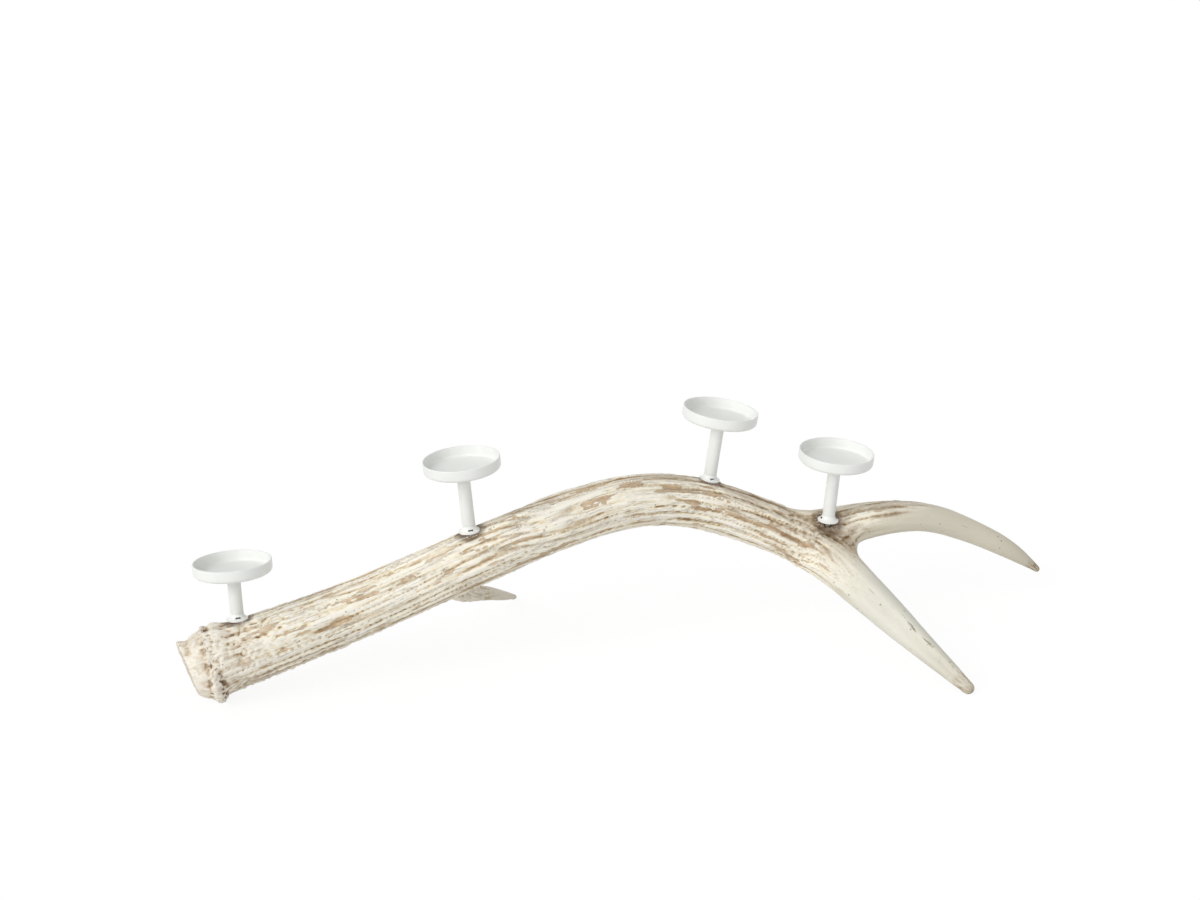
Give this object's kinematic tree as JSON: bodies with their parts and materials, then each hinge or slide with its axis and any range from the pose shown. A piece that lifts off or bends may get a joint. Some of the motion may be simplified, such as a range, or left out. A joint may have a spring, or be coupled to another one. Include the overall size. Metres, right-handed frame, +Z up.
{
  "type": "antler candle holder",
  "caption": "Whitewashed deer antler standing like an arched bridge, carrying white metal candle cups on slim posts that screw onto hanger bolts in its back.",
  "frame": {"origin": "bottom centre of the whole object's box, on the table", "axes": "+Z up, +X along the antler from the burr to the fork, +Y towards the back"},
  "size_m": [0.5765, 0.2201, 0.1589],
  "materials": {
    "antler": "whitewashed bone",
    "white_paint": "satin",
    "zinc_steel": "zinc plated"
  },
  "bodies": {
    "antler": {"antler": "antler", "hanger_bolt_1": "zinc_steel", "hanger_bolt_2": "zinc_steel", "hanger_bolt_3": "zinc_steel", "hanger_bolt_4": "zinc_steel"},
    "collar_1": {"foot_collar_1": "white_paint"},
    "holder_1": {"candle_cup_1": "white_paint", "cup_rivet_1": "white_paint", "post_1": "white_paint"},
    "collar_2": {"foot_collar_2": "white_paint"},
    "holder_2": {"candle_cup_2": "white_paint", "cup_rivet_2": "white_paint", "post_2": "white_paint"},
    "collar_3": {"foot_collar_3": "white_paint"},
    "holder_3": {"candle_cup_3": "white_paint", "cup_rivet_3": "white_paint", "post_3": "white_paint"},
    "collar_4": {"foot_collar_4": "white_paint"},
    "holder_4": {"candle_cup_4": "white_paint", "cup_rivet_4": "white_paint", "post_4": "white_paint"}
  },
  "joints": [
    {"name": "lift_1", "type": "slide", "parent": "antler", "child": "collar_1", "axis": [-0.0592, 0.0557, 0.9967], "range_m": [0, 0.00805]},
    {"name": "turn_1", "type": "hinge", "parent": "collar_1", "child": "holder_1", "pos_m": [-0.2485, -0.07535, 0.05067], "axis": [-0.0592, 0.0557, 0.9967], "range_deg": [0, 3600]},
    {"name": "lift_2", "type": "slide", "parent": "antler", "child": "collar_2", "axis": [-0.0923, -0.0365, 0.9951], "range_m": [0, 0.00805]},
    {"name": "turn_2", "type": "hinge", "parent": "collar_2", "child": "holder_2", "pos_m": [-0.10393, -0.02781, 0.09282], "axis": [-0.0923, -0.0365, 0.9951], "range_deg": [0, 3600]},
    {"name": "lift_3", "type": "slide", "parent": "antler", "child": "collar_3", "axis": [0.1409, -0.0173, 0.9899], "range_m": [0, 0.00805]},
    {"name": "turn_3", "type": "hinge", "parent": "collar_3", "child": "holder_3", "pos_m": [0.05263, 0.03826, 0.10592], "axis": [0.1409, -0.0173, 0.9899], "range_deg": [0, 3600]},
    {"name": "lift_4", "type": "slide", "parent": "antler", "child": "collar_4", "axis": [0.087, -0.0678, 0.9939], "range_m": [0, 0.00805]},
    {"name": "turn_4", "type": "hinge", "parent": "collar_4", "child": "holder_4", "pos_m": [0.13254, 0.04056, 0.07664], "axis": [0.087, -0.0678, 0.9939], "range_deg": [0, 3600]}
  ],
  "couplings": [
    {"joint": "lift_1", "follows": "turn_1", "m_per_rad": 0.00012732},
    {"joint": "lift_2", "follows": "turn_2", "m_per_rad": 0.00012732},
    {"joint": "lift_3", "follows": "turn_3", "m_per_rad": 0.00012732},
    {"joint": "lift_4", "follows": "turn_4", "m_per_rad": 0.00012732}
  ]
}
